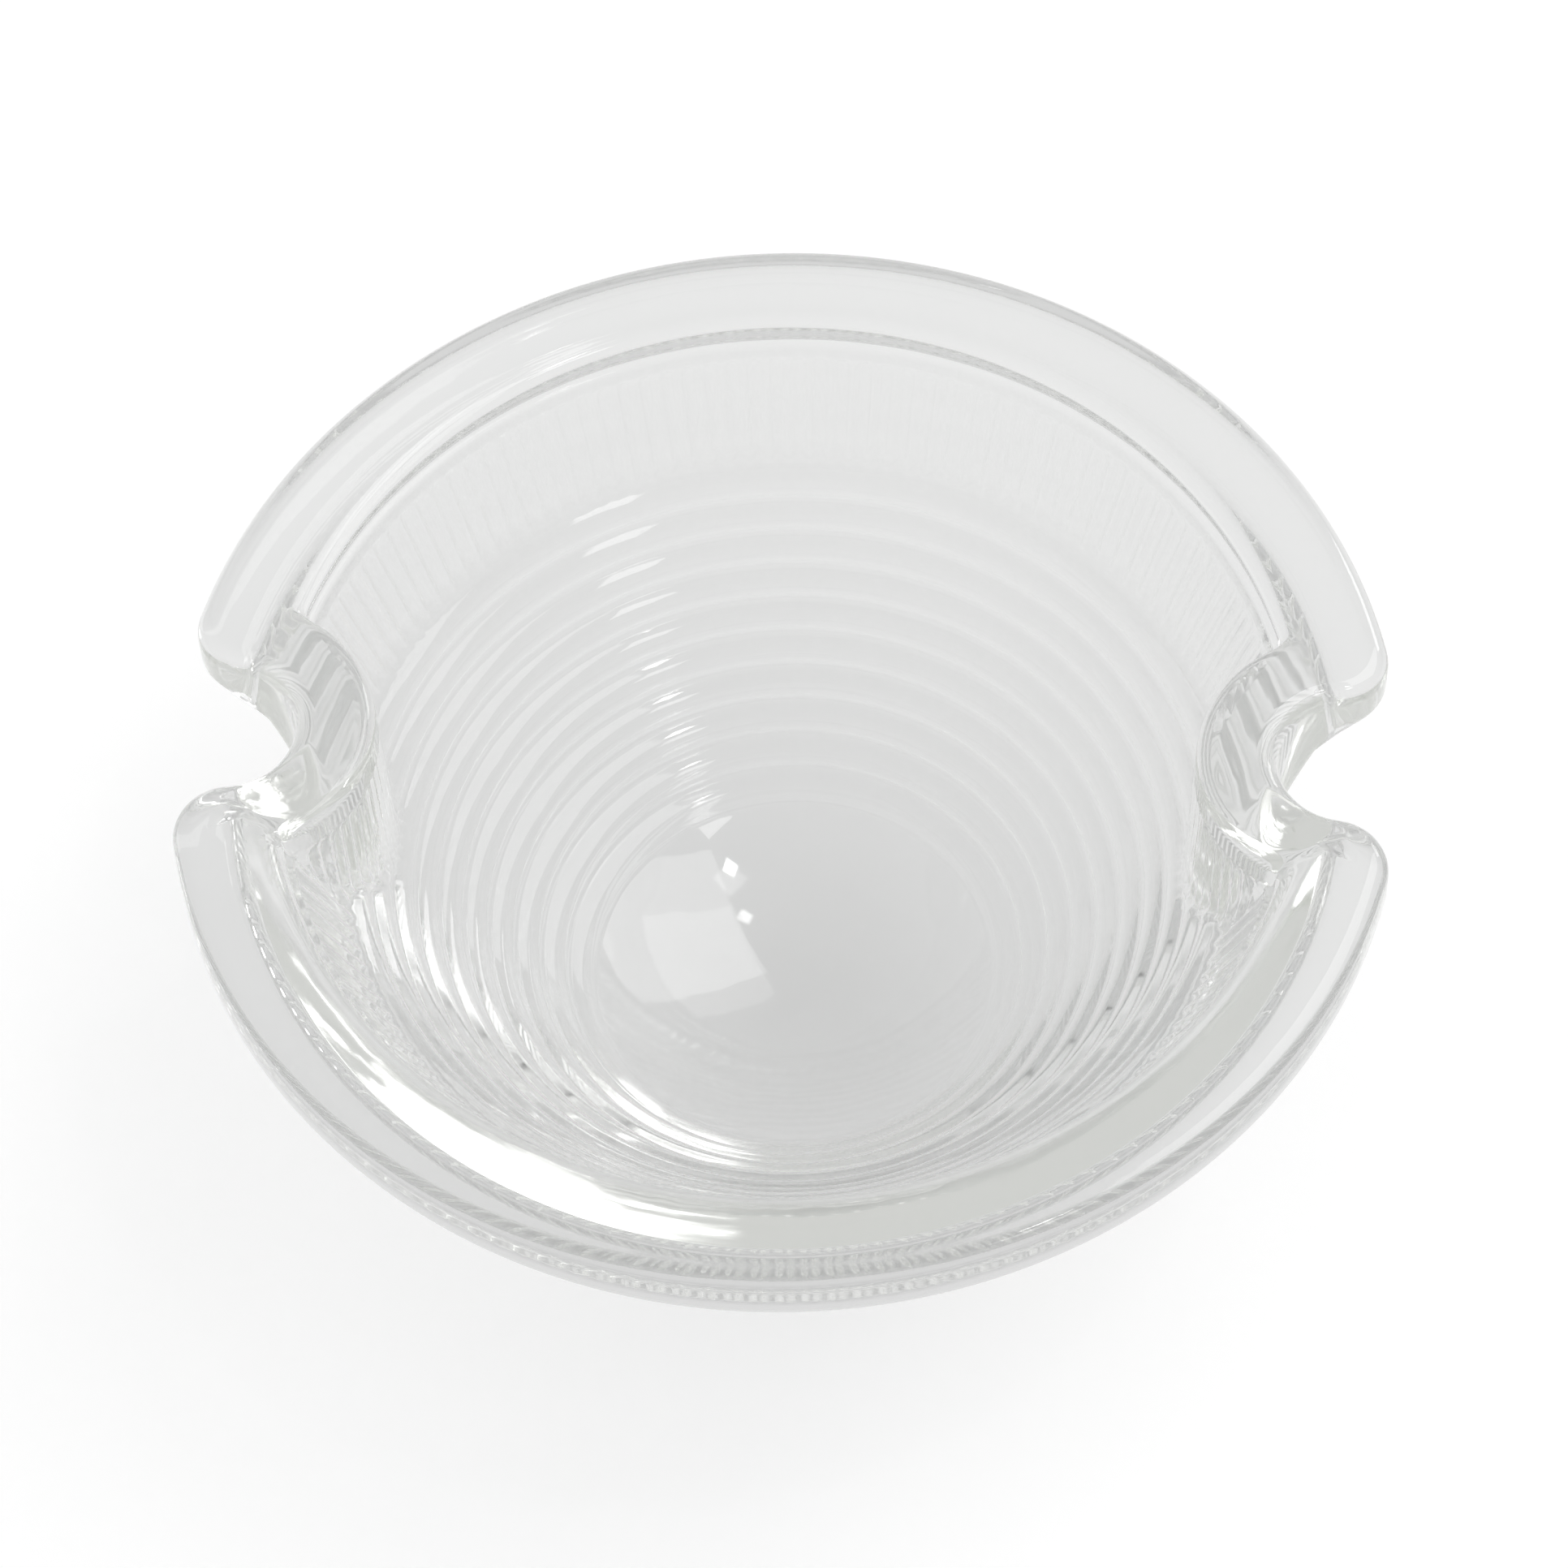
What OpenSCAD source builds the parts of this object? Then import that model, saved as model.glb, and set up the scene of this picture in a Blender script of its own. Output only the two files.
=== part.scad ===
// Pressed glass lamp lens: a round bowl with a mounting flange and two open screw notches.
// Z points up out of the open mouth. The origin is the lowest point of the dome.
// The notches lie on the X axis. All sizes are in millimetres.

/* [Flange] */
// Outside diameter of the flange
flange_d = 86; // [71:0.5:104]
// Thickness of the flange
flange_t = 4.7; // [4:0.1:6]
// Rounding of the flange's outer edges
edge_round = 1.4; // [0.8:0.1:1.6]
// Width of the flat gasket face
face_w = 6.0; // [5.4:0.1:7]
// Distance that the flange stands out from the bowl
flange_reach = 4.3; // [3.6:0.1:5]
// Fillet between the flange's underside and the bowl
root_round = 2.0; // [1:0.1:2.4]

/* [Bowl] */
// Depth of the centre disc's edge below the gasket face
disc_depth = 31.6; // [26:0.1:38]
// Diameter of the smooth centre disc
disc_d = 29.7; // [24:0.1:36]
// Hollow of the disc's centre below its edge
disc_sag = 3.9; // [1:0.1:4.7]
// Glass thickness at the crown
crown_t = 4.3; // [3.6:0.1:5.2]
// Glass thickness at the disc's edge
foot_wall = 3.2; // [2.6:0.1:3.9]
// Glass thickness at the top of the flutes
rim_wall = 3.6; // [3:0.1:4.4]

/* [Rings] */
// Number of rings between the disc and the flutes
ring_count = 10; // [6:1:12]
// Height of each ring's crest above the wall
ring_crest = 0.65; // [0.3:0.05:0.8]
// Outward bow of the ringed wall
ring_bow = 1.0; // [0.6:0.1:1.2]

/* [Flutes and inner lip] */
// Depth of the flutes' top below the gasket face
flute_top_depth = 2.9; // [2.4:0.1:3.5]
// Height of the band of flutes
flute_h = 8.7; // [7:0.1:10.5]
// Narrowing of the fluted wall from its top to its foot, on the radius
flute_taper = 3.5; // [2.8:0.1:4.4]
// Number of flutes round the wall
flute_count = 136; // [90:2:150]
// Radius of each flute's groove
flute_groove_r = 0.9; // [0.7:0.05:1.2]
// Depth of each flute's groove
flute_depth = 0.16; // [0.1:0.02:0.2]
// Rounding of the lip between the gasket face and the wall
lip_round = 1.2; // [0.8:0.1:1.5]
// Width of the ledge between the lip and the flutes
ledge_w = 0.5; // [0.3:0.1:0.7]

/* [Screw notches] */
// Width of each notch, to clear its screw
notch_w = 9.5; // [7.9:0.1:11.4]
// Distance of the screw's centre from the flange's edge
screw_inset = 3.85; // [3.2:0.05:4.6]
// Rounding of the corners at each notch's mouth
mouth_round = 3.9; // [2:0.1:4.5]
// Glass thickness between a notch and the boss's inside
boss_wall = 5.7; // [4.7:0.1:6.9]
// Draft of the bosses and the screw recesses, in degrees
draft = 1.8; // [1:0.1:3]

/* [Hidden] */
$fn = 96;

flange_r = flange_d / 2;
bowl_r = flange_r - flange_reach;
face_r = flange_r - face_w;
disc_r = disc_d / 2;
flute_top_r = bowl_r - rim_wall;
ring_top_r = flute_top_r - flute_taper;
notch_r = notch_w / 2;
notch_x = flange_r - screw_inset;
boss_r = notch_r + boss_wall;
drafted = disc_depth * tan(draft);

lens_h = disc_depth + disc_sag + crown_t;
flange_z = lens_h - flange_t;
disc_z = lens_h - disc_depth;
flute_top_z = lens_h - flute_top_depth;
ring_top_z = flute_top_z - flute_h;

arc_steps = 16;
ring_steps = 6;
round_steps = 5;
cut_over = 1;

// Point on an arc that leaves p heading at angle a and turns left with radius r through angle t.
// A negative r and t turn right.
function arc_point(p, a, r, t) =
    [p[0] + r * (sin(a + t) - sin(a)), p[1] + r * (cos(a) - cos(a + t))];

// All the points after p on that arc.
function arc(p, a, r, t, steps) = [for (i = [1 : steps]) arc_point(p, a, r, t * i / steps)];

// The ringed wall is an arc from the disc's edge to the top ring, bowed outwards by ring_bow.
ring_foot = [disc_r, disc_z];
ring_head = [ring_top_r, ring_top_z];
ring_chord = norm(ring_head - ring_foot);
ring_slope = atan2(ring_head[1] - ring_foot[1], ring_head[0] - ring_foot[0]);
ring_half_turn = 2 * atan(2 * ring_bow / ring_chord);
ring_wall_r = ring_chord / (2 * sin(ring_half_turn));
foot_slope = ring_slope - ring_half_turn;

// Each ring rises steeply from its lower edge and falls gently to its upper one.
ring_skew = 0.7;
ring_lower_density = 1.4;
function ring_point(k, s) =
    let (t = 2 * ring_half_turn * (k + s) / ring_count,
         rise = ring_crest * sin(180 * pow(s, ring_skew)))
    arc_point(ring_foot, foot_slope, ring_wall_r, t)
        + rise * [-sin(foot_slope + t), cos(foot_slope + t)];
rings = [for (k = [0 : ring_count - 1]) for (i = [0 : ring_steps - 1])
    ring_point(k, pow(i / ring_steps, ring_lower_density))];

// The centre disc is the cap of a sphere.
disc_middle = [0, disc_z - disc_sag];
disc_curve_r = (disc_r * disc_r + disc_sag * disc_sag) / (2 * disc_sag);
disc = concat([disc_middle],
    arc(disc_middle, 0, disc_curve_r, asin(disc_r / disc_curve_r), arc_steps));

// The lip rounds over from the gasket face, drops, and ends in a small ledge above the flutes.
lip = concat(
    [[flute_top_r, flute_top_z], [flute_top_r + ledge_w, flute_top_z + ledge_w / 2]],
    [[face_r - lip_round, lens_h - lip_round]],
    arc([face_r - lip_round, lens_h - lip_round], 90, -lip_round, -90, round_steps));

inside = concat(disc, rings, [ring_head], lip,
    [[face_r, lens_h + cut_over], [0, lens_h + cut_over]]);

// The crown is an arc that ends one foot_wall outside the disc's edge.
crown_end = ring_foot + foot_wall * [sin(foot_slope), -cos(foot_slope)];
crown_r = (crown_end * crown_end) / (2 * crown_end[1]);
crown_angle = 2 * atan2(crown_end[1], crown_end[0]);

// The flank is an arc that leaves the crown smoothly and reaches the bowl's edge at the flange.
bowl_top = [bowl_r, flange_z];
flank_chord = bowl_top - crown_end;
flank_r = (flank_chord * flank_chord) / (2 * (flank_chord * [-sin(crown_angle), cos(crown_angle)]));
flank_turn = 2 * (atan2(flank_chord[1], flank_chord[0]) - crown_angle);
outside = concat([[0, 0]],
    arc([0, 0], 0, crown_r, crown_angle, arc_steps),
    arc(crown_end, crown_angle, flank_r, flank_turn, arc_steps));

// Rounded edge of the flange, from its underside to its gasket face.
flange_edge = concat(
    [[flange_r - edge_round, flange_z]],
    arc([flange_r - edge_round, flange_z], 0, edge_round, 90, round_steps),
    [[flange_r, lens_h - edge_round]],
    arc([flange_r, lens_h - edge_round], 90, edge_round, 90, round_steps));

// The flutes' line along the wall, and the half angle that each boss takes up there.
flute_run = [flute_taper, flute_h];
flute_slope = atan2(flute_h, flute_taper);
flute_end_gap = 0.35;
boss_reach = boss_r + drafted + flute_groove_r;
boss_half_angle = acos((flute_top_r * flute_top_r + notch_x * notch_x - boss_reach * boss_reach)
    / (2 * flute_top_r * notch_x));

// Fillet in the corner under the flange, as a ring of glass outside the bowl.
module flange_root() {
    wall_slope = crown_angle + flank_turn;
    setback = root_round / tan((180 - wall_slope) / 2);
    rotate_extrude()
        difference() {
            polygon([bowl_top - [root_round / 2, 0],
                bowl_top - setback * [cos(wall_slope), sin(wall_slope)] - [root_round / 2, 0],
                bowl_top - setback * [cos(wall_slope), sin(wall_slope)],
                bowl_top + [setback, 0],
                bowl_top + [setback, flange_t / 2],
                bowl_top + [-root_round / 2, flange_t / 2]]);
            translate(bowl_top + [setback, -root_round])
                circle(r = root_round);
        }
}

// Solid form of the whole lens before it is hollowed.
module outer_form() {
    rotate_extrude()
        polygon(concat(outside, flange_edge, [[0, lens_h]]));
    flange_root();
}

// Hollow of the bowl with its rings and lip.
module hollow() {
    rotate_extrude()
        polygon(inside);
}

// One flute's groove, a round bar lying along the wall between the rings and the lip.
module flute_groove() {
    translate([ring_top_r, 0, ring_top_z])
        rotate([0, 90 - flute_slope, 0])
            translate([flute_depth - flute_groove_r, 0, flute_end_gap])
                cylinder(h = norm(flute_run) - 2 * flute_end_gap, r = flute_groove_r, $fn = 24);
}

// Band of flutes round the wall, left out where the bosses cover it.
module flutes() {
    for (i = [0 : flute_count - 1])
        let (turn = (i + 0.5) * 360 / flute_count)
            if (abs(sin(turn)) > sin(boss_half_angle))
                rotate([0, 0, turn])
                    flute_groove();
}

// Boss of glass round one screw notch, standing inside the bowl.
module boss() {
    translate([notch_x, 0, disc_z])
        cylinder(h = disc_depth, r1 = boss_r + drafted, r2 = boss_r);
}

// Open notch in plan. Each corner of its mouth is an arc that meets the notch's side and the
// flange's edge smoothly.
module notch_plan() {
    corner_r = flange_r - mouth_round;
    corner_reach = notch_r + mouth_round;
    straight = corner_r * corner_r > notch_x * notch_x + corner_reach * corner_reach;
    corner_angle = straight ? asin(corner_reach / corner_r)
        : acos((corner_r * corner_r + notch_x * notch_x - corner_reach * corner_reach)
            / (2 * corner_r * notch_x));
    corner = corner_r * [cos(corner_angle), sin(corner_angle)];
    beyond = flange_r + mouth_round;
    translate([notch_x, 0])
        circle(r = notch_r);
    translate([notch_x, -notch_r])
        square([beyond - notch_x, notch_w]);
    for (side = [0, 1])
        mirror([0, side])
            difference() {
                polygon([[max(notch_x, corner[0]), 0], corner, corner * beyond / corner_r,
                    [beyond, 0]]);
                translate(corner)
                    circle(r = mouth_round);
            }
}

// Notch through the flange, and the recess below it down the outside of the bowl.
module notch_cut() {
    translate([0, 0, flange_z - root_round])
        linear_extrude(height = flange_t + root_round + cut_over)
            notch_plan();
    translate([notch_x, 0, disc_z])
        cylinder(h = disc_depth, r1 = notch_r + drafted, r2 = notch_r);
}

// The lens, one piece of clear pressed glass.
module lens() {
    color([0.86, 0.88, 0.87, 0.55])
        difference() {
            outer_form();
            difference() {
                hollow();
                for (turn = [0, 180])
                    rotate([0, 0, turn])
                        boss();
            }
            for (turn = [0, 180])
                rotate([0, 0, turn])
                    notch_cut();
            flutes();
        }
}

lens();
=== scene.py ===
"""Looks for the pressed glass lamp lens: a fire-polished glass mesh, a pale floor and soft light."""
import math

import bpy
import numpy as np
from mathutils import Matrix, Vector


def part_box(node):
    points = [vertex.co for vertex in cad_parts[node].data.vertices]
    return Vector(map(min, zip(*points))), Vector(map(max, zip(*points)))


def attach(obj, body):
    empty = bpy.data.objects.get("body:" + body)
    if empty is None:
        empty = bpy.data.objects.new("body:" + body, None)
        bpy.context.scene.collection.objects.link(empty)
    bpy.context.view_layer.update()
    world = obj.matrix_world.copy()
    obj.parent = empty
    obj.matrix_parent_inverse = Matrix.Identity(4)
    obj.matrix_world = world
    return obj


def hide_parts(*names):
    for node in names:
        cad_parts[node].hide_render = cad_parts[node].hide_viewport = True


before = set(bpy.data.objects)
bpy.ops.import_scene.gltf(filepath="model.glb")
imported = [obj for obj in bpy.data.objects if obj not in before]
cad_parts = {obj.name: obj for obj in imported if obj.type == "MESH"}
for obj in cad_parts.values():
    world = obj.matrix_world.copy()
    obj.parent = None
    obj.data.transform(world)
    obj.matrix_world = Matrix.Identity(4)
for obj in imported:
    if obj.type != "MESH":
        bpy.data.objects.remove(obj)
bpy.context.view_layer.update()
lens_low, lens_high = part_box("lens")

MM = 0.001

# Sizes that the CAD model's box gives.
FLANGE_R = (lens_high[1] - lens_low[1]) / 2
LENS_H = lens_high[2] - lens_low[2]

# The lens's other sizes, as in the CAD model.
FLANGE_T = 4.7 * MM
EDGE_ROUND = 1.4 * MM
FACE_R = FLANGE_R - 6.0 * MM
BOWL_R = FLANGE_R - 4.3 * MM
ROOT_ROUND = 2.0 * MM
DISC_R = 14.85 * MM
DISC_DEPTH = 31.6 * MM
DISC_SAG = 3.9 * MM
FOOT_WALL = 3.2 * MM
RING_COUNT = 10
RING_CREST = 0.65 * MM
RING_BOW = 1.0 * MM
RING_SKEW = 0.7
FLUTE_TOP_R = BOWL_R - 3.6 * MM
FLUTE_TOP_DEPTH = 2.9 * MM
FLUTE_H = 8.7 * MM
FLUTE_TAPER = 3.5 * MM
FLUTE_COUNT = 136
LIP_ROUND = 1.2 * MM
LEDGE_W = 0.5 * MM
NOTCH_R = 4.75 * MM
NOTCH_X = FLANGE_R - 3.85 * MM
MOUTH_ROUND = 3.9 * MM
BOSS_R = NOTCH_R + 5.7 * MM
DRAFT = math.tan(math.radians(1.8))

# The flutes are cut deeper than in the CAD model, so that they show in even light, and they go
# on round the bosses.
FLUTE_DEPTH = 0.42 * MM
BOSS_FLUTE_DEPTH = 0.25 * MM
BOSS_FLUTES = 68

# Fire polishing softens what the mould cut sharp.
BOSS_TOP_ROUND = 1.0 * MM
BOSS_FOOT_BLEND = 0.8 * MM
RECESS_BLEND = 1.0 * MM

FLANGE_Z = LENS_H - FLANGE_T
DISC_Z = LENS_H - DISC_DEPTH
FLUTE_TOP_Z = LENS_H - FLUTE_TOP_DEPTH
RING_TOP_Z = FLUTE_TOP_Z - FLUTE_H
RING_TOP_R = FLUTE_TOP_R - FLUTE_TAPER


# ---------------------------------------------------------------- profiles

RING_STEPS = 7
RING_FOOT_CROWDING = 1.25
LIP_STEPS = 8
CROWN_STEPS = 60
FLANK_STEPS = 240
ROOT_STEPS = 24


def arc(start, heading, radius, turn, steps):
    """Points after start on an arc that leaves it at heading and turns left; negative turns right."""
    t = heading + turn * np.arange(1, steps + 1) / steps
    x = start[0] + radius * (np.sin(t) - math.sin(heading))
    z = start[1] + radius * (math.cos(heading) - np.cos(t))
    return np.column_stack([x, z])


def ringed_wall():
    """The bowed line that the rings stand on: foot, heading at the foot, radius and half its turn."""
    foot = np.array([DISC_R, DISC_Z])
    head = np.array([RING_TOP_R, RING_TOP_Z])
    chord = np.linalg.norm(head - foot)
    slope = math.atan2(head[1] - foot[1], head[0] - foot[0])
    half_turn = 2 * math.atan(2 * RING_BOW / chord)
    return foot, slope - half_turn, chord / (2 * math.sin(half_turn)), half_turn


def ring_profile():
    """The ten rings from the disc's edge to the flutes, each with a steep foot and a soft crest."""
    foot, heading, radius, half_turn = ringed_wall()
    one_ring = (np.arange(RING_STEPS) / RING_STEPS) ** RING_FOOT_CROWDING
    rings_up = (np.arange(RING_COUNT)[:, None] + one_ring[None, :]).ravel()
    within = rings_up - np.floor(rings_up)
    rise = RING_CREST * np.sin(math.pi * within ** RING_SKEW)
    turn = 2 * half_turn * rings_up / RING_COUNT
    angle = heading + turn
    x = foot[0] + radius * (np.sin(angle) - math.sin(heading)) - rise * np.sin(angle)
    z = foot[1] + radius * (math.cos(heading) - np.cos(angle)) + rise * np.cos(angle)
    return np.column_stack([x, z])


def lip_profile():
    """The ledge above the flutes, the drop, and the rounding up to the gasket face."""
    ledge = np.array([[FLUTE_TOP_R, FLUTE_TOP_Z],
                      [FLUTE_TOP_R + LEDGE_W, FLUTE_TOP_Z + LEDGE_W / 2]])
    start = (FACE_R - LIP_ROUND, LENS_H - LIP_ROUND)
    rounding = arc(start, math.pi / 2, -LIP_ROUND, -math.pi / 2, LIP_STEPS)
    return np.vstack([ledge, [start], rounding])


def outside_profile():
    """The outside from the flange's underside down the flank and round the crown."""
    foot, heading, _, _ = ringed_wall()
    crown_end = foot + FOOT_WALL * np.array([math.sin(heading), -math.cos(heading)])
    crown_r = crown_end @ crown_end / (2 * crown_end[1])
    crown_angle = 2 * math.atan2(crown_end[1], crown_end[0])
    top = np.array([BOWL_R, FLANGE_Z])
    chord = top - crown_end
    normal = np.array([-math.sin(crown_angle), math.cos(crown_angle)])
    flank_r = chord @ chord / (2 * chord @ normal)
    flank_turn = 2 * (math.atan2(chord[1], chord[0]) - crown_angle)
    crown = np.vstack([[0.0, 0.0], arc((0.0, 0.0), 0.0, crown_r, crown_angle, CROWN_STEPS)])
    flank = arc(crown_end, crown_angle, flank_r, flank_turn, FLANK_STEPS)
    wall_slope = crown_angle + flank_turn
    setback = ROOT_ROUND / math.tan((math.pi - wall_slope) / 2)
    cut = top - setback * np.array([math.cos(wall_slope), math.sin(wall_slope)])
    flank = flank[flank[:, 1] < cut[1]]
    fillet = arc(cut, wall_slope, -ROOT_ROUND, -wall_slope, ROOT_STEPS)
    return np.vstack([crown, flank, [cut], fillet])


OUTSIDE_WALL = outside_profile()


def outer_radius(z):
    """Radius of the plain outside at a height, the fillet under the flange included."""
    return np.interp(z, OUTSIDE_WALL[:, 1], OUTSIDE_WALL[:, 0])


# ---------------------------------------------------------------- spokes

# The loops of the mesh have their vertices on shared spokes. A quarter of the lens has
# NOTCH_STEPS spokes round its half notch and PLAIN_STEPS over the rest. The fluted band has
# FLUTE_SPLIT times as many over the rest, and some loops leave out most of theirs.
NOTCH_STEPS = 80
PLAIN_STEPS = 70
FLUTE_SPLIT = 3
BOSS_END = math.radians(17.5)
BOSS_SAMPLES = 800
BOSS_SAMPLE_DEPTH = 6 * MM
HALVINGS = 36
FLUTE_ROUNDNESS = 1.6

corner_r = FLANGE_R - MOUTH_ROUND
corner_angle = math.acos((corner_r ** 2 + NOTCH_X ** 2 - (NOTCH_R + MOUTH_ROUND) ** 2)
                         / (2 * corner_r * NOTCH_X))
corner = corner_r * np.array([math.cos(corner_angle), math.sin(corner_angle)])
contact = math.atan2(corner[1], corner[0] - NOTCH_X)
notch_length = NOTCH_R * (math.pi - contact)
corner_turn = corner_angle + math.pi - contact
corner_length = MOUTH_ROUND * corner_turn


def outline(length, inset):
    """Point of a quarter of the flange's outline, length along it from the notch's bottom and
    inset into the glass. The outline is the notch's round end, its corner and the flange's edge."""
    length, inset = np.broadcast_arrays(np.asarray(length, float), inset)
    a = math.pi - length / NOTCH_R
    notch = np.stack([NOTCH_X + (NOTCH_R + inset) * np.cos(a), (NOTCH_R + inset) * np.sin(a)], -1)
    a = contact - math.pi + (length - notch_length) / MOUTH_ROUND
    mouth = corner + (MOUTH_ROUND - inset)[..., None] * np.stack([np.cos(a), np.sin(a)], -1)
    a = corner_angle + (length - notch_length - corner_length) / FLANGE_R
    edge = (FLANGE_R - inset)[..., None] * np.stack([np.cos(a), np.sin(a)], -1)
    on_notch = (length <= notch_length)[..., None]
    on_mouth = (length <= notch_length + corner_length)[..., None]
    return np.where(on_notch, notch, np.where(on_mouth, mouth, edge))


def smooth_max(a, b, blend):
    """The larger of two values, with a rounded change-over of the given width."""
    near = np.maximum(blend - np.abs(a - b), 0) / blend
    return np.maximum(a, b) + near * near * blend / 4


def smoothstep(x):
    """A soft rise from 0 at 0 to 1 at 1."""
    x = np.clip(x, 0, 1)
    return x * x * (3 - 2 * x)


def first_crossing(angle, reach, radius, blend):
    """Distance from the axis, along a folded angle, to a round wall of radius reach, or to the
    circle of the given radius round the screw's centre if that is nearer."""
    c, s = np.cos(angle), np.sin(angle)
    low = np.zeros(np.broadcast_shapes(np.shape(angle), np.shape(reach), np.shape(radius)))
    high = low + reach
    for _ in range(HALVINGS):
        mid = (low + high) / 2
        gap = radius - np.hypot(mid * c - NOTCH_X, mid * s)
        solid = smooth_max(mid - reach, gap, blend) > 0
        high = np.where(solid, mid, high)
        low = np.where(solid, low, mid)
    return (low + high) / 2


def flute_wave(turns):
    """A row of round grooves with ridges between them, 0 on a ridge and 1 in a groove."""
    x = 2 * (turns - np.floor(turns)) - 1
    return 1 - np.abs(x) ** FLUTE_ROUNDNESS


def boss_radius(z, angle_round_boss=None, flute=0.0):
    """Radius of a boss's inside at a height, with its draft, rounded top and flutes."""
    depth = LENS_H - z
    up = np.clip((z - (LENS_H - BOSS_TOP_ROUND)) / BOSS_TOP_ROUND, 0, 1)
    radius = BOSS_R + depth * DRAFT - BOSS_TOP_ROUND * (1 - np.sqrt(1 - up * up))
    if angle_round_boss is not None:
        radius = radius - flute * flute_wave(BOSS_FLUTES * angle_round_boss / (2 * math.pi))
    return radius


def inside_radius(angle, wall_r, z, wall_flute=0.0, boss_flute=0.0):
    """Distance from the axis to the bowl's inside at one height."""
    wall = wall_r + wall_flute * flute_wave(FLUTE_COUNT * angle / (2 * math.pi))
    r = first_crossing(angle, wall, boss_radius(z), BOSS_FOOT_BLEND)
    if boss_flute > 0:
        round_boss = np.arctan2(r * np.sin(angle), NOTCH_X - r * np.cos(angle))
        fluted = boss_radius(z, round_boss, boss_flute)
        r = first_crossing(angle, wall, fluted, BOSS_FOOT_BLEND)
    return r


def all_round(quarter):
    """The angles of one quarter's spokes, both ends included, mirrored to the whole turn."""
    q = np.asarray(quarter)
    return np.concatenate([q[:-1], math.pi - q[:0:-1], math.pi + q[:-1], 2 * math.pi - q[:0:-1]])


def fold(angle):
    """The same place in the first quarter, where every shape is worked out."""
    a = np.mod(angle, math.pi)
    return np.minimum(a, math.pi - a)


# Outer spokes: even steps along the outline, first round the notch and its corner, then the edge.
notch_end = notch_length + corner_length
quarter_length = notch_end + (math.pi / 2 - corner_angle) * FLANGE_R
outline_length = np.concatenate([np.linspace(0, notch_end, NOTCH_STEPS + 1)[:-1],
                                 np.linspace(notch_end, quarter_length, PLAIN_STEPS + 1)])

# Inner spokes: even steps round the boss, then even angles.
reference_z = LENS_H - BOSS_SAMPLE_DEPTH
reference_r = np.interp(reference_z, [RING_TOP_Z, FLUTE_TOP_Z], [RING_TOP_R, FLUTE_TOP_R])
dense = np.linspace(0, BOSS_END, BOSS_SAMPLES)
dense_r = inside_radius(dense, reference_r, reference_z)
dense_xy = np.column_stack([dense_r * np.cos(dense), dense_r * np.sin(dense)])
run = np.concatenate([[0], np.cumsum(np.linalg.norm(np.diff(dense_xy, axis=0), axis=1))])
boss_angles = np.interp(np.linspace(0, run[-1], NOTCH_STEPS + 1), run, dense)
inner_quarter = np.concatenate([boss_angles[:-1],
                                np.linspace(BOSS_END, math.pi / 2, PLAIN_STEPS + 1)])
fine_quarter = np.concatenate([boss_angles[:-1],
                               np.linspace(BOSS_END, math.pi / 2, PLAIN_STEPS * FLUTE_SPLIT + 1)])

# A spoke's place is its number in the coarse set, with fractions in the fine set.
quarter_size = NOTCH_STEPS + PLAIN_STEPS
COARSE = 4 * quarter_size
coarse_place = np.arange(COARSE, dtype=float)
plain_place = np.arange(PLAIN_STEPS * FLUTE_SPLIT + 1) / FLUTE_SPLIT
quarter_place = np.concatenate([np.arange(NOTCH_STEPS), NOTCH_STEPS + plain_place])
fine_place = np.concatenate([quarter_place[:-1], 2 * quarter_size - quarter_place[:0:-1],
                             2 * quarter_size + quarter_place[:-1],
                             4 * quarter_size - quarter_place[:0:-1]])


# ---------------------------------------------------------------- the glass mesh

# Loops of the disc: share of its half angle, and how many spokes each loop steps over.
DISC_LOOPS = ((0.05, 8), (0.12, 4), (0.22, 4), (0.34, 2), (0.46, 2), (0.58, 2), (0.69, 2),
              (0.8, 2), (0.9, 2), (0.97, 2))
# Rings that come this near to a boss keep all their spokes.
NEAR_BOSS = 1.5 * MM
# Loops of the fluted band, as shares of its height. The flutes fade out at both ends.
FLUTE_LOOPS = (0.0, 0.04, 0.09, 0.16, 0.26, 0.37, 0.48, 0.59, 0.7, 0.79, 0.87, 0.93, 0.97)
FLUTE_FOOT_FADE = 0.08
FLUTE_TOP_FADE = 0.1

# A sharper turn than this in the lip gets a point each side, this share of the way to the next.
SHARP_CORNER = math.radians(18)
CORNER_GUARD = 0.25

# Loops of the gasket face, as shares of the way from the lip to the edge.
FACE_LOOPS = (0.12, 0.35, 0.6, 0.82, 0.95)
# Loops of each rounded edge. The lower one fades in over this length from the notch.
EDGE_LOOPS = 8
PAST_NOTCH_LENGTH = 3 * MM

# The outside starts lower in the screw recesses, and past RECESS_DEPTH it is plain and round.
RECESS_DROP = 2.2 * MM
RECESS_DEPTH = 15.6 * MM
# Loops down the recesses, as shares of the way, crowded towards the flange.
RECESS_LOOPS = np.concatenate([np.linspace(0, 1, 9)[:-1] ** 1.7 * 0.2, np.linspace(0.2, 1, 24)])
UNDERSIDE_LOOPS = (0.35, 0.75)
CROWN_LOOPS = 28
# The crown's loops leave out more spokes inside each of these radii.
WIDE_R = 8 * MM
NARROW_R = 3 * MM


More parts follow.
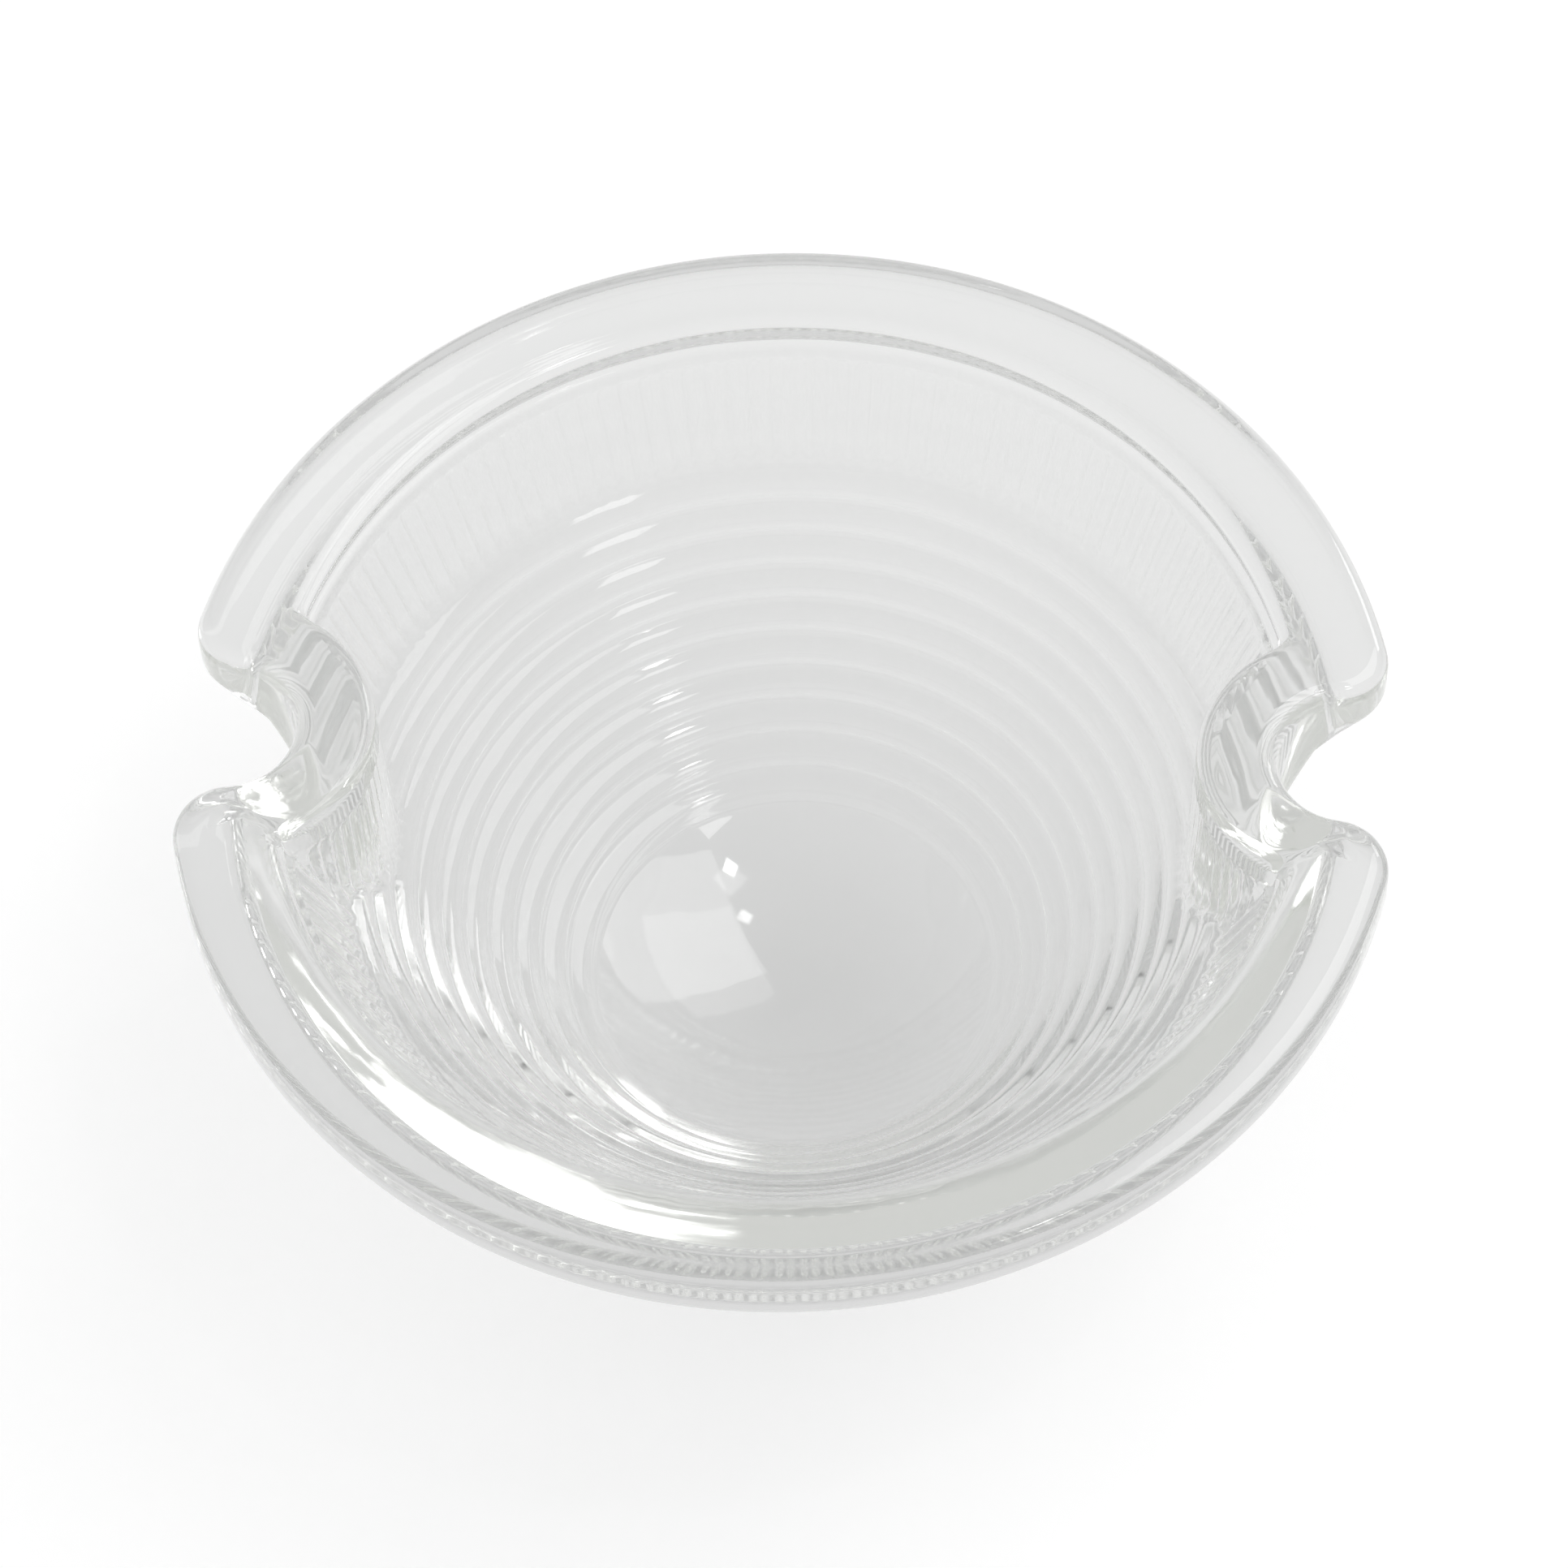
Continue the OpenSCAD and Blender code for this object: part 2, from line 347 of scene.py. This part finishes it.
class Skin:
    """A closed skin made of loops. Loops on the same spokes are joined by quads, others by
    triangles."""

    def __init__(self):
        self.points = []
        self.faces = []
        self.last = None

    def loop(self, points, place):
        """Adds a loop of points on the given spokes and joins it to the one before."""
        start = sum(len(p) for p in self.points)
        self.points.append(points)
        ids = np.arange(start, start + len(points))
        if self.last is not None:
            self.join(*self.last, ids, place)
        self.last = (ids, place)

    def join(self, a, place_a, b, place_b):
        """Faces between two loops. A loop of one vertex closes the skin with a fan."""
        a2, b2 = np.roll(a, -1), np.roll(b, -1)
        if len(a) == 1:
            self.faces += [(a[0], v, w) for v, w in zip(b, b2)]
        elif len(b) == 1:
            self.faces += [(v, b[0], w) for v, w in zip(a, a2)]
        elif len(a) == len(b):
            self.faces += list(zip(a, b, b2, a2))
        else:
            self.zip_up(a, place_a, b, place_b)

    def zip_up(self, a, place_a, b, place_b):
        """Triangles between loops with different numbers of vertices."""
        pa, pb = np.append(place_a, COARSE), np.append(place_b, COARSE)
        i = j = 0
        while i < len(a) or j < len(b):
            left, right = a[i % len(a)], b[j % len(b)]
            if j == len(b) or (i < len(a) and pa[i + 1] <= pb[j + 1]):
                self.faces.append((left, right, a[(i + 1) % len(a)]))
                i += 1
            else:
                self.faces.append((left, right, b[(j + 1) % len(b)]))
                j += 1

    def mesh(self, name):
        """The skin as a mesh."""
        mesh = bpy.data.meshes.new(name)
        points = np.vstack(self.points)
        mesh.from_pydata(points.tolist(), [], [tuple(int(v) for v in f) for f in self.faces])
        mesh.update()
        return mesh


def rows(angle, radius, z):
    """Points at the given angles and distances from the axis, one to a row."""
    return np.column_stack([radius * np.cos(angle), radius * np.sin(angle),
                            np.broadcast_to(z, np.shape(angle))])


def add_inside(skin):
    """The disc, the rings, the flutes and the lip, from the middle outwards."""
    angle = all_round(inner_quarter)
    fine = all_round(fine_quarter)
    curve_r = (DISC_R ** 2 + DISC_SAG ** 2) / (2 * DISC_SAG)
    half_angle = math.asin(DISC_R / curve_r)
    bottom = DISC_Z - DISC_SAG
    skin.loop(np.array([[0.0, 0.0, bottom]]), np.zeros(1))
    for part, skip in DISC_LOOPS:
        a = part * half_angle
        skin.loop(rows(angle[::skip], curve_r * math.sin(a), bottom + curve_r * (1 - math.cos(a))),
                  coarse_place[::skip])
    for r, z in ring_profile():
        near_boss = r + NEAR_BOSS > NOTCH_X - boss_radius(z)
        skip = 1 if near_boss else 2
        a = angle[::skip]
        boss_flute = BOSS_FLUTE_DEPTH if near_boss else 0.0
        skin.loop(rows(a, inside_radius(fold(a), r, z, 0.0, boss_flute), z), coarse_place[::skip])
    for s in FLUTE_LOOPS:
        r, z = RING_TOP_R + FLUTE_TAPER * s, RING_TOP_Z + FLUTE_H * s
        top_fade = float(smoothstep((1 - s) / FLUTE_TOP_FADE))
        fade = float(smoothstep(s / FLUTE_FOOT_FADE)) * top_fade
        wall_flute = fade * FLUTE_DEPTH / math.sin(math.atan2(FLUTE_H, FLUTE_TAPER))
        boss_flute = top_fade * BOSS_FLUTE_DEPTH
        a, place = (angle, coarse_place) if s == 0 else (fine, fine_place)
        skin.loop(rows(a, inside_radius(fold(a), r, z, wall_flute, boss_flute), z), place)
    for r, z in soften(lip_profile()):
        skin.loop(rows(angle, inside_radius(fold(angle), r, z), z), coarse_place)


def soften(profile):
    """Adds a point each side of a corner, so that smooth shading stays near it."""
    out = [profile[0]]
    for before, here, after in zip(profile, profile[1:], profile[2:]):
        heading_in = math.atan2(*(here - before)[::-1])
        heading_out = math.atan2(*(after - here)[::-1])
        turn = abs(math.remainder(heading_out - heading_in, 2 * math.pi))
        if turn > SHARP_CORNER:
            out += [here + (before - here) * CORNER_GUARD, here + (after - here) * CORNER_GUARD]
        else:
            out.append(here)
    return np.array(out + [profile[-1]])


def quarter_to_round(xy):
    """Mirrors one quarter's points, both ends included, to the whole outline."""
    q = np.asarray(xy)
    flip_x, flip_y = np.array([-1, 1]), np.array([1, -1])
    return np.vstack([q[:-1], q[:0:-1] * flip_x, q[:-1] * -1, q[:0:-1] * flip_y])


def add_flange(skin):
    """The gasket face, the rounded edges and the sides of the notches."""
    inner = inside_radius(inner_quarter, FACE_R, LENS_H)
    inner_xy = np.column_stack([inner * np.cos(inner_quarter), inner * np.sin(inner_quarter)])
    past_notch = smoothstep((outline_length - notch_length) / PAST_NOTCH_LENGTH)
    edge_xy = outline(outline_length, EDGE_ROUND)
    for u in FACE_LOOPS:
        xy = quarter_to_round(inner_xy + (edge_xy - inner_xy) * u)
        skin.loop(np.column_stack([xy, np.full(len(xy), LENS_H)]), coarse_place)
    for t in np.linspace(0, math.pi / 2, EDGE_LOOPS):
        inset = EDGE_ROUND * (1 - math.sin(t))
        depth = EDGE_ROUND * (1 - math.cos(t))
        draft = (1 - past_notch) * depth * DRAFT
        xy = quarter_to_round(outline(outline_length, inset + draft))
        skin.loop(np.column_stack([xy, np.full(len(xy), LENS_H - depth)]), coarse_place)
    for t in np.linspace(0, math.pi / 2, EDGE_LOOPS):
        round_i = EDGE_ROUND * past_notch
        inset = round_i * (1 - math.cos(t))
        depth = FLANGE_T - EDGE_ROUND * (1 - math.sin(t))
        draft = (1 - past_notch) * depth * DRAFT
        xy = quarter_to_round(outline(outline_length, inset + draft))
        skin.loop(np.column_stack([xy, np.full(len(xy), LENS_H - depth)]), coarse_place)
    return past_notch


def add_outside(skin, past_notch):
    """The flange's underside, the bowl's outside with its two screw recesses, and the crown."""
    draft = (1 - past_notch) * FLANGE_T * DRAFT
    edge_xy = outline(outline_length, EDGE_ROUND * past_notch + draft)
    angle = np.arctan2(edge_xy[:, 1], edge_xy[:, 0])
    reach = np.linalg.norm(edge_xy, axis=1)
    start_z = FLANGE_Z - RECESS_DROP * (1 - past_notch)

    def outside_radius(a, z):
        recess_r = NOTCH_R + (LENS_H - z) * DRAFT
        return first_crossing(a, outer_radius(z), recess_r, RECESS_BLEND)

    start_r = np.minimum(outside_radius(angle, start_z), reach)
    for u in UNDERSIDE_LOOPS:
        r = reach + (start_r - reach) * u
        z = FLANGE_Z + (start_z - FLANGE_Z) * u
        xy = quarter_to_round(np.column_stack([r * np.cos(angle), r * np.sin(angle)]))
        skin.loop(np.column_stack([xy, mirror_values(z)]), coarse_place)
    z_low = LENS_H - RECESS_DEPTH
    for v in RECESS_LOOPS:
        z = start_z + (z_low - start_z) * v
        r = np.minimum(outside_radius(angle, z), reach)
        xy = quarter_to_round(np.column_stack([r * np.cos(angle), r * np.sin(angle)]))
        skin.loop(np.column_stack([xy, mirror_values(z)]), coarse_place)
    full = all_round(angle)
    lower = OUTSIDE_WALL[OUTSIDE_WALL[:, 1] < z_low]
    length = np.concatenate([[0], np.cumsum(np.linalg.norm(np.diff(lower, axis=0), axis=1))])
    for s in np.linspace(length[-1], 0, CROWN_LOOPS)[1:-1]:
        r, z = np.interp(s, length, lower[:, 0]), np.interp(s, length, lower[:, 1])
        skip = 2 if r > WIDE_R else 4 if r > NARROW_R else 8
        skin.loop(rows(full[::skip], r, z), coarse_place[::skip])
    skin.loop(np.array([[0.0, 0.0, 0.0]]), np.zeros(1))


def mirror_values(q):
    """One quarter's values, both ends included, repeated round the lens."""
    return np.concatenate([q[:-1], q[:0:-1], q[:-1], q[:0:-1]])


def make_glass():
    """The whole lens as one closed mesh, from the disc's middle round to the crown's."""
    skin = Skin()
    add_inside(skin)
    past_notch = add_flange(skin)
    add_outside(skin, past_notch)
    mesh = skin.mesh("lens_glass")
    glass = bpy.data.objects.new("lens_glass", mesh)
    bpy.context.scene.collection.objects.link(glass)
    for face in mesh.polygons:
        face.use_smooth = True
    return glass


# ---------------------------------------------------------------- materials

def shader(name):
    """A new node material, with its node tree and its surface shader."""
    material = bpy.data.materials.new(name)
    material.use_nodes = True
    tree = material.node_tree
    return material, tree, tree.nodes["Principled BSDF"]


def noise(tree, coords, scale, detail):
    """An even noise over the surface."""
    node = tree.nodes.new("ShaderNodeTexNoise")
    node.inputs["Scale"].default_value = scale
    node.inputs["Detail"].default_value = detail
    tree.links.new(coords, node.inputs["Vector"])
    return node.outputs["Fac"]


def spread(tree, value, low, high):
    """A noise value stretched to run from low to high."""
    node = tree.nodes.new("ShaderNodeMapRange")
    node.inputs["From Min"].default_value = 0.3
    node.inputs["From Max"].default_value = 0.7
    node.inputs["To Min"].default_value = low
    node.inputs["To Max"].default_value = high
    tree.links.new(value, node.inputs["Value"])
    return node.outputs["Result"]


def glass_material():
    """Clear pressed glass: gentle waves from the fire polish, a faint yellow-green body, and an even
    grey tint that is painted shade.
    """
    material, tree, surface = shader("pressed_glass")
    coords = tree.nodes.new("ShaderNodeTexCoord").outputs["Object"]
    surface.inputs["Transmission Weight"].default_value = 1.0
    surface.inputs["IOR"].default_value = 1.51
    # Painted shade: the grey base colour darkens all that is seen through the glass. It stands in for
    # the shade under the lens, which the glowing floor leaves out.
    surface.inputs["Base Color"].default_value = (0.785, 0.788, 0.785, 1.0)
    roughness = spread(tree, noise(tree, coords, scale=180.0, detail=3.0), low=0.02, high=0.07)
    tree.links.new(roughness, surface.inputs["Roughness"])
    bump = tree.nodes.new("ShaderNodeBump")
    bump.inputs["Strength"].default_value = 0.1
    bump.inputs["Distance"].default_value = 0.0004
    tree.links.new(noise(tree, coords, scale=150.0, detail=2.0), bump.inputs["Height"])
    tree.links.new(bump.outputs["Normal"], surface.inputs["Normal"])
    body = tree.nodes.new("ShaderNodeVolumeAbsorption")
    body.inputs["Color"].default_value = (0.76, 0.80, 0.68, 1.0)
    body.inputs["Density"].default_value = 2.5
    tree.links.new(body.outputs["Volume"], tree.nodes["Material Output"].inputs["Volume"])
    return material


def floor_material():
    """A pale matt table that glows a little, so that it stays bright under the glass."""
    material, tree, surface = shader("pale_floor")
    coords = tree.nodes.new("ShaderNodeTexCoord").outputs["Object"]
    tone = tree.nodes.new("ShaderNodeMix")
    tone.data_type = "RGBA"
    tone.inputs["A"].default_value = (0.44, 0.44, 0.44, 1.0)
    tone.inputs["B"].default_value = (0.46, 0.46, 0.46, 1.0)
    tree.links.new(noise(tree, coords, scale=6.0, detail=2.0), tone.inputs["Factor"])
    tree.links.new(tone.outputs["Result"], surface.inputs["Base Color"])
    tree.links.new(tone.outputs["Result"], surface.inputs["Emission Color"])
    surface.inputs["Emission Strength"].default_value = 1.25
    surface.inputs["Roughness"].default_value = 0.9
    surface.inputs["Specular IOR Level"].default_value = 0.1
    return material


# ---------------------------------------------------------------- stage

VIEW_AZIMUTH = math.radians(5.0)
VIEW_ELEVATION = math.radians(57.2)
VIEW_DISTANCE = 10 * FLANGE_R
VIEW_ROLL = math.radians(-2.48)
VIEW_DROP = math.radians(-0.4254)
LENS_MM = 141.8
SENSOR_MM = 36.0

FLOOR_REACH = 3.0
# Light leaves the thick rim only after many turns inside it.
BOUNCES = 40


def direction(right, away, up):
    """A direction as the camera's operator would give it, in the lens's frame."""
    c, s = math.cos(VIEW_AZIMUTH), math.sin(VIEW_AZIMUTH)
    return Vector((right * c - away * s, right * s + away * c, up)).normalized()


def make_camera():
    """A long lens aimed at the gasket face's middle, then turned by the roll and the drop."""
    back = direction(0.0, -math.cos(VIEW_ELEVATION), math.sin(VIEW_ELEVATION))
    camera = bpy.data.objects.new("camera", bpy.data.cameras.new("camera"))
    bpy.context.scene.collection.objects.link(camera)
    camera.data.lens = LENS_MM
    camera.data.sensor_width = SENSOR_MM
    camera.data.clip_start = 0.01
    camera.data.clip_end = 20.0
    look = (-back).to_track_quat("-Z", "Y").to_matrix().to_4x4()
    place = Matrix.Translation(Vector((0, 0, LENS_H)) + back * VIEW_DISTANCE)
    tilt = Matrix.Rotation(VIEW_ROLL, 4, "Z") @ Matrix.Rotation(VIEW_DROP, 4, "X")
    camera.matrix_world = place @ look @ tilt
    bpy.context.scene.camera = camera


def softbox(name, toward, distance, size, radiance):
    """A square area light that shines at the lens with the given radiance."""
    light = bpy.data.lights.new(name, "AREA")
    light.shape = "SQUARE"
    light.size = size
    light.energy = radiance * math.pi * size * size
    lamp = bpy.data.objects.new(name, light)
    lamp.location = toward * distance
    lamp.rotation_euler = toward.to_track_quat("Z", "Y").to_euler()
    bpy.context.scene.collection.objects.link(lamp)


def studio_world():
    """A white tent, darker towards the horizon."""
    world = bpy.data.worlds.new("studio")
    world.use_nodes = True
    tree = world.node_tree
    split = tree.nodes.new("ShaderNodeSeparateXYZ")
    tree.links.new(tree.nodes.new("ShaderNodeTexCoord").outputs["Generated"], split.inputs["Vector"])
    height = tree.nodes.new("ShaderNodeMapRange")
    height.inputs["From Min"].default_value = 0.05
    height.inputs["From Max"].default_value = 0.5
    height.inputs["To Min"].default_value = 0.66
    height.inputs["To Max"].default_value = 0.85
    tree.links.new(split.outputs["Z"], height.inputs["Value"])
    background = tree.nodes["Background"]
    background.inputs["Color"].default_value = (1.0, 1.0, 1.0, 1.0)
    tree.links.new(height.outputs["Result"], background.inputs["Strength"])
    return world


def make_stage():
    """The floor, the tent and the lights."""
    reach = FLOOR_REACH
    mesh = bpy.data.meshes.new("floor")
    corners = [(-reach, -reach, 0), (reach, -reach, 0), (reach, reach, 0), (-reach, reach, 0)]
    mesh.from_pydata(corners, [], [(0, 1, 2, 3)])
    mesh.materials.append(floor_material())
    floor = bpy.data.objects.new("floor", mesh)
    bpy.context.scene.collection.objects.link(floor)

    bpy.context.scene.world = studio_world()
    bpy.context.scene.view_settings.view_transform = "Standard"
    bpy.context.scene.cycles.max_bounces = BOUNCES
    bpy.context.scene.cycles.transmission_bounces = BOUNCES
    bpy.context.scene.cycles.glossy_bounces = BOUNCES

    softbox("key", direction(0.27, -0.12, 0.95), distance=1.4, size=0.09, radiance=16.0)
    softbox("key_low", direction(0.36, -0.34, 0.87), distance=1.4, size=0.22, radiance=3.5)
    softbox("window", direction(0.66, 0.63, 0.38), distance=1.6, size=0.4, radiance=4.0)
    softbox("side", direction(0.52, 0.22, 0.82), distance=1.6, size=1.1, radiance=1.9)


glass = make_glass()
glass.data.materials.append(glass_material())
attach(glass, "root")
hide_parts("lens")
make_stage()
make_camera()
